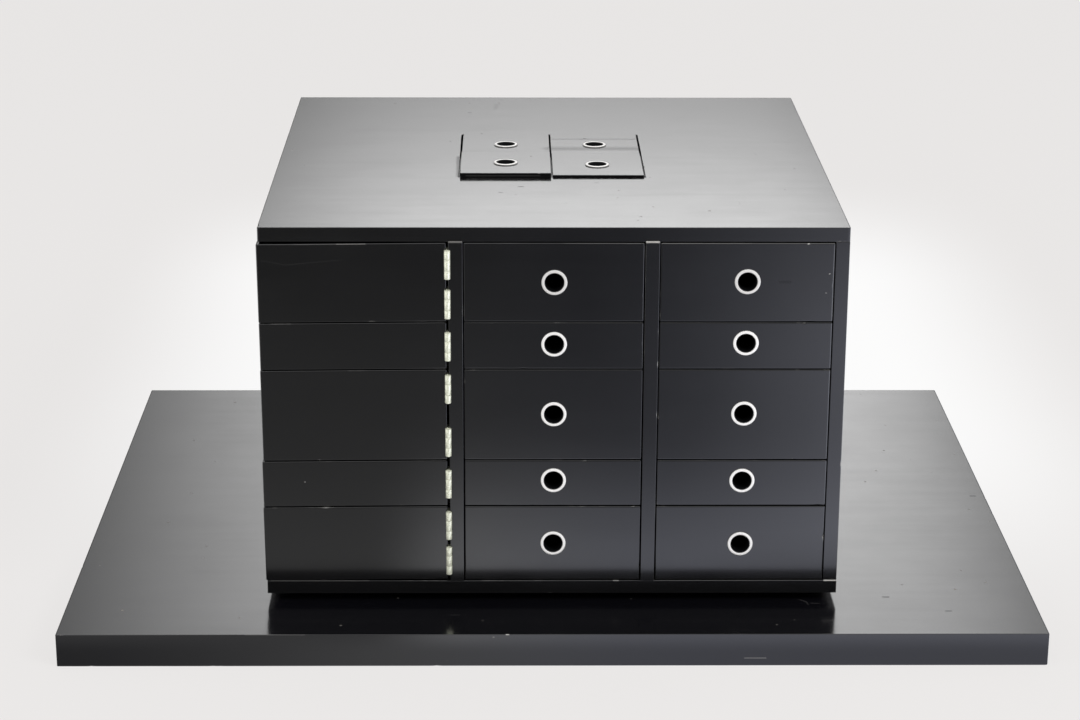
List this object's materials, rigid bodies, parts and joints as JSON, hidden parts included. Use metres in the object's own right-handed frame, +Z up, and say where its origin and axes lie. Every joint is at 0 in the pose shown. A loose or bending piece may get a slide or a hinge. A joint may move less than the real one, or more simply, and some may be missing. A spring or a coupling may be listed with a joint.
{
  "type": "swivel tabletop cabinet",
  "caption": "Square black tabletop cabinet on a swivel base board, with drawers on finger rings, side-hung doors and a well under lift-off lids.",
  "frame": {"origin": "on the table, under the middle of the base board", "axes": "+X to the right, along the long side of the base board; -Y to the front, where the drawers and doors are; +Z up"},
  "size_m": [1.021, 0.775, 0.45],
  "materials": {
    "black_laminate": "satin black laminate on board",
    "stained_wood": "black-stained birch plywood",
    "ring_metal": "polished",
    "hinge_nickel": "nickel plated",
    "turntable_steel": "zinc plated",
    "ball_steel": "polished"
  },
  "bodies": {
    "base": {"base_board": "black_laminate", "turntable_lower_plate": "turntable_steel", "turntable_balls": "ball_steel"},
    "cabinet": {"turntable_upper_plate": "turntable_steel", "bottom_panel": "black_laminate", "top_panel": "black_laminate", "side_panels": "black_laminate", "back_panel": "black_laminate", "partitions": "black_laminate", "well_walls": "black_laminate", "shelves_and_runners": "stained_wood", "hinge_fixed_leaves": "hinge_nickel"},
    "door_1": {"door_1": "black_laminate", "door_1_hinge_leaf": "hinge_nickel"},
    "door_2": {"door_2": "black_laminate", "door_2_hinge_leaf": "hinge_nickel"},
    "door_3": {"door_3": "black_laminate", "door_3_hinge_leaf": "hinge_nickel"},
    "door_4": {"door_4": "black_laminate", "door_4_hinge_leaf": "hinge_nickel"},
    "door_5": {"door_5": "black_laminate", "door_5_hinge_leaf": "hinge_nickel"},
    "centre_drawer_1": {"centre_drawer_1_front": "black_laminate", "centre_drawer_1_box": "stained_wood", "centre_drawer_1_ring": "ring_metal"},
    "centre_drawer_2": {"centre_drawer_2_front": "black_laminate", "centre_drawer_2_box": "stained_wood", "centre_drawer_2_ring": "ring_metal"},
    "centre_drawer_3": {"centre_drawer_3_front": "black_laminate", "centre_drawer_3_box": "stained_wood", "centre_drawer_3_ring": "ring_metal"},
    "centre_drawer_4": {"centre_drawer_4_front": "black_laminate", "centre_drawer_4_box": "stained_wood", "centre_drawer_4_ring": "ring_metal"},
    "centre_drawer_5": {"centre_drawer_5_front": "black_laminate", "centre_drawer_5_box": "stained_wood", "centre_drawer_5_ring": "ring_metal"},
    "right_drawer_1": {"right_drawer_1_front": "black_laminate", "right_drawer_1_box": "stained_wood", "right_drawer_1_ring": "ring_metal"},
    "right_drawer_2": {"right_drawer_2_front": "black_laminate", "right_drawer_2_box": "stained_wood", "right_drawer_2_ring": "ring_metal"},
    "right_drawer_3": {"right_drawer_3_front": "black_laminate", "right_drawer_3_box": "stained_wood", "right_drawer_3_ring": "ring_metal"},
    "right_drawer_4": {"right_drawer_4_front": "black_laminate", "right_drawer_4_box": "stained_wood", "right_drawer_4_ring": "ring_metal"},
    "right_drawer_5": {"right_drawer_5_front": "black_laminate", "right_drawer_5_box": "stained_wood", "right_drawer_5_ring": "ring_metal"},
    "lid_front_left": {"lid_front_left": "black_laminate", "lid_front_left_ring": "ring_metal"},
    "lid_back_left": {"lid_back_left": "black_laminate", "lid_back_left_ring": "ring_metal"},
    "lid_front_right": {"lid_front_right": "black_laminate", "lid_front_right_ring": "ring_metal"},
    "lid_back_right": {"lid_back_right": "black_laminate", "lid_back_right_ring": "ring_metal"}
  },
  "joints": [
    {"name": "swivel", "type": "hinge", "parent": "base", "child": "cabinet", "pos_m": [0, 0, 0.0399], "axis": [0, 0, 1], "continuous": true},
    {"name": "door_1_hinge", "type": "hinge", "parent": "cabinet", "child": "door_1", "pos_m": [-0.10835, -0.3042, 0.38625], "axis": [0, 0, 1], "range_deg": [0, 90]},
    {"name": "door_2_hinge", "type": "hinge", "parent": "cabinet", "child": "door_2", "pos_m": [-0.10835, -0.3042, 0.3188], "axis": [0, 0, 1], "range_deg": [0, 90]},
    {"name": "door_3_hinge", "type": "hinge", "parent": "cabinet", "child": "door_3", "pos_m": [-0.10835, -0.3042, 0.24375], "axis": [0, 0, 1], "range_deg": [0, 90]},
    {"name": "door_4_hinge", "type": "hinge", "parent": "cabinet", "child": "door_4", "pos_m": [-0.10835, -0.3042, 0.1686], "axis": [0, 0, 1], "range_deg": [0, 90]},
    {"name": "door_5_hinge", "type": "hinge", "parent": "cabinet", "child": "door_5", "pos_m": [-0.10835, -0.3042, 0.1012], "axis": [0, 0, 1], "range_deg": [0, 90]},
    {"name": "centre_drawer_1_slide", "type": "slide", "parent": "cabinet", "child": "centre_drawer_1", "axis": [0, -1, 0], "range_m": [0, 0.136]},
    {"name": "centre_drawer_2_slide", "type": "slide", "parent": "cabinet", "child": "centre_drawer_2", "axis": [0, -1, 0], "range_m": [0, 0.136]},
    {"name": "centre_drawer_3_slide", "type": "slide", "parent": "cabinet", "child": "centre_drawer_3", "axis": [0, -1, 0], "range_m": [0, 0.136]},
    {"name": "centre_drawer_4_slide", "type": "slide", "parent": "cabinet", "child": "centre_drawer_4", "axis": [0, -1, 0], "range_m": [0, 0.136]},
    {"name": "centre_drawer_5_slide", "type": "slide", "parent": "cabinet", "child": "centre_drawer_5", "axis": [0, -1, 0], "range_m": [0, 0.136]},
    {"name": "right_drawer_1_slide", "type": "slide", "parent": "cabinet", "child": "right_drawer_1", "axis": [0, -1, 0], "range_m": [0, 0.4299]},
    {"name": "right_drawer_2_slide", "type": "slide", "parent": "cabinet", "child": "right_drawer_2", "axis": [0, -1, 0], "range_m": [0, 0.4299]},
    {"name": "right_drawer_3_slide", "type": "slide", "parent": "cabinet", "child": "right_drawer_3", "axis": [0, -1, 0], "range_m": [0, 0.4299]},
    {"name": "right_drawer_4_slide", "type": "slide", "parent": "cabinet", "child": "right_drawer_4", "axis": [0, -1, 0], "range_m": [0, 0.4299]},
    {"name": "right_drawer_5_slide", "type": "slide", "parent": "cabinet", "child": "right_drawer_5", "axis": [0, -1, 0], "range_m": [0, 0.4299]},
    {"name": "lid_front_left_lift", "type": "slide", "parent": "cabinet", "child": "lid_front_left", "axis": [0, 0, 1], "range_m": [0, 0.1]},
    {"name": "lid_back_left_lift", "type": "slide", "parent": "cabinet", "child": "lid_back_left", "axis": [0, 0, 1], "range_m": [0, 0.1]},
    {"name": "lid_front_right_lift", "type": "slide", "parent": "cabinet", "child": "lid_front_right", "axis": [0, 0, 1], "range_m": [0, 0.1]},
    {"name": "lid_back_right_lift", "type": "slide", "parent": "cabinet", "child": "lid_back_right", "axis": [0, 0, 1], "range_m": [0, 0.1]}
  ]
}
